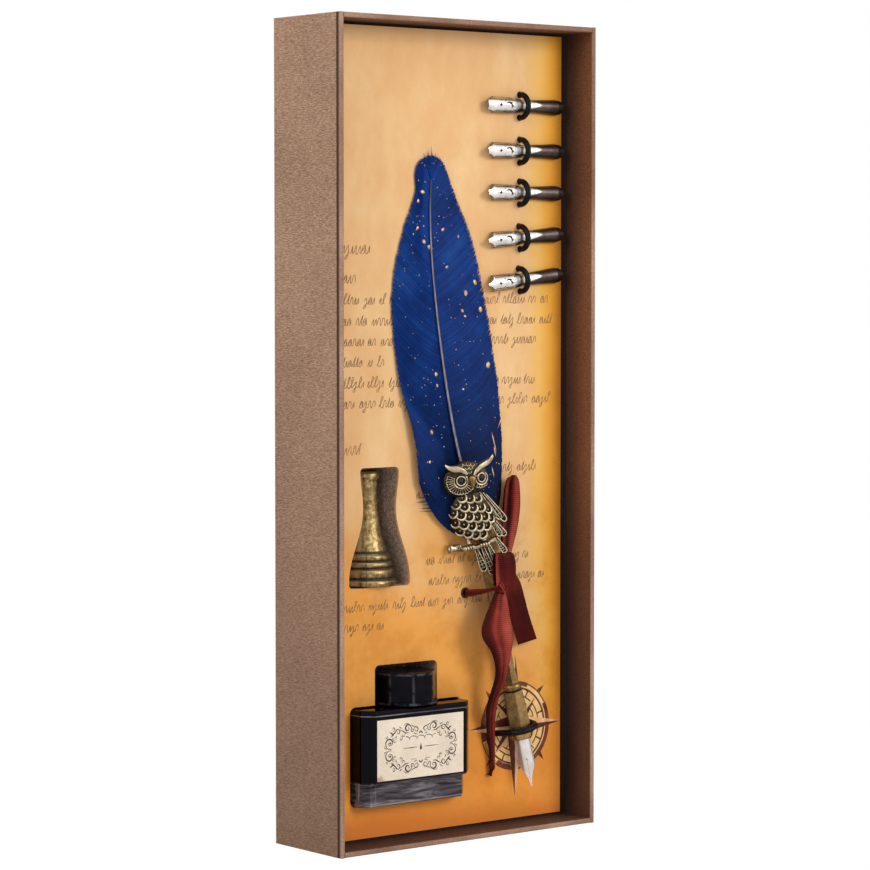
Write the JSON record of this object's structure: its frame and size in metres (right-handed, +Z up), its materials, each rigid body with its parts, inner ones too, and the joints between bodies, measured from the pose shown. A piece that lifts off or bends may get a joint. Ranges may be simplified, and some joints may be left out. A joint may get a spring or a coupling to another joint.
{
  "type": "calligraphy set box",
  "caption": "Open presentation box of a calligraphy set: ink bottle, turned pen stand, quill dip pen with an owl, and spare nibs held by elastic loops on a printed card tray.",
  "frame": {"origin": "middle of the underside of the bottom end wall, with the box standing on its short end", "axes": "+Z up along the box's long side, the open front faces -Y, +X to the right seen from the front"},
  "size_m": [0.124, 0.041, 0.31],
  "materials": {
    "wrapped_board": "textured brown paper glued over greyboard",
    "foam": "matt black flocked foam",
    "parchment_card": "matt printed parchment card",
    "elastic_cord": "shiny black covered elastic",
    "satin_ribbon": "dark red satin",
    "bottle_glass": "clear glass, dark with ink",
    "ink": "black ink",
    "paper_label": "cream paper",
    "cap_plastic": "glossy black",
    "liner_foam": "white foamed liner",
    "antique_brass": "antique, brushed, dark in the hollows",
    "golden_bronze": "golden bronze, polished",
    "nib_steel": "bright plated steel",
    "antique_pewter": "cast, silvered with dark hollows",
    "quill": "satin quill",
    "feather": "dyed feather barbs"
  },
  "bodies": {
    "box": {"back_board": "wrapped_board", "left_side_wall": "wrapped_board", "right_side_wall": "wrapped_board", "bottom_end_wall": "wrapped_board", "top_end_wall": "wrapped_board", "base_foam_sheet": "foam", "middle_foam_layer": "foam", "upper_foam_layer": "foam", "printed_card": "parchment_card", "pen_elastic": "elastic_cord", "tie_ribbon": "satin_ribbon", "spare_nib_elastic_1": "elastic_cord", "spare_nib_elastic_2": "elastic_cord", "spare_nib_elastic_3": "elastic_cord", "spare_nib_elastic_4": "elastic_cord", "spare_nib_elastic_5": "elastic_cord"},
    "bottle": {"bottle_glass": "bottle_glass", "ink": "ink", "bottle_label": "paper_label"},
    "cap_carrier": {"cap_liner": "liner_foam"},
    "cap": {"bottle_cap": "cap_plastic"},
    "stand": {"pen_stand": "antique_brass"},
    "pen": {"pen_barrel": "antique_brass", "pen_grip": "antique_brass", "nib_collar": "golden_bronze", "owl_ornament": "antique_pewter", "feather_shaft": "quill", "feather_vane": "feather"},
    "writing_nib": {"pen_nib": "nib_steel"},
    "spare_1": {"spare_nib_1": "nib_steel"},
    "spare_2": {"spare_nib_2": "nib_steel"},
    "spare_3": {"spare_nib_3": "nib_steel"},
    "spare_4": {"spare_nib_4": "nib_steel"},
    "spare_5": {"spare_nib_5": "nib_steel"}
  },
  "joints": [
    {"name": "bottle_lift", "type": "slide", "parent": "box", "child": "bottle", "axis": [0, -1, 0], "range_m": [0, 0.045]},
    {"name": "cap_lift", "type": "slide", "parent": "bottle", "child": "cap_carrier", "axis": [0, 0, 1], "range_m": [0, 0.0024]},
    {"name": "cap_turn", "type": "hinge", "parent": "cap_carrier", "child": "cap", "pos_m": [-0.0207, -0.00595, 0.06], "axis": [0, 0, 1], "range_deg": [0, 360]},
    {"name": "stand_lift", "type": "slide", "parent": "box", "child": "stand", "axis": [0, -1, 0], "range_m": [0, 0.045]},
    {"name": "pen_slide", "type": "slide", "parent": "box", "child": "pen", "axis": [-0.2334, 0, 0.9724], "range_m": [0, 0.022]},
    {"name": "nib_pull", "type": "slide", "parent": "pen", "child": "writing_nib", "axis": [0.2334, 0, -0.9724], "range_m": [0, 0.01]},
    {"name": "spare_nib_1_slide", "type": "slide", "parent": "box", "child": "spare_1", "axis": [-1, 0, 0.007], "range_m": [0, 0.0205]},
    {"name": "spare_nib_2_slide", "type": "slide", "parent": "box", "child": "spare_2", "axis": [-1, 0, -0.0052], "range_m": [0, 0.0205]},
    {"name": "spare_nib_3_slide", "type": "slide", "parent": "box", "child": "spare_3", "axis": [-1, 0, 0], "range_m": [0, 0.0205]},
    {"name": "spare_nib_4_slide", "type": "slide", "parent": "box", "child": "spare_4", "axis": [-0.9973, 0, -0.0732], "range_m": [0, 0.0205]},
    {"name": "spare_nib_5_slide", "type": "slide", "parent": "box", "child": "spare_5", "axis": [-0.9949, 0, -0.1011], "range_m": [0, 0.0205]}
  ],
  "couplings": [
    {"joint": "cap_lift", "follows": "cap_turn", "m_per_rad": 0.00038197}
  ]
}
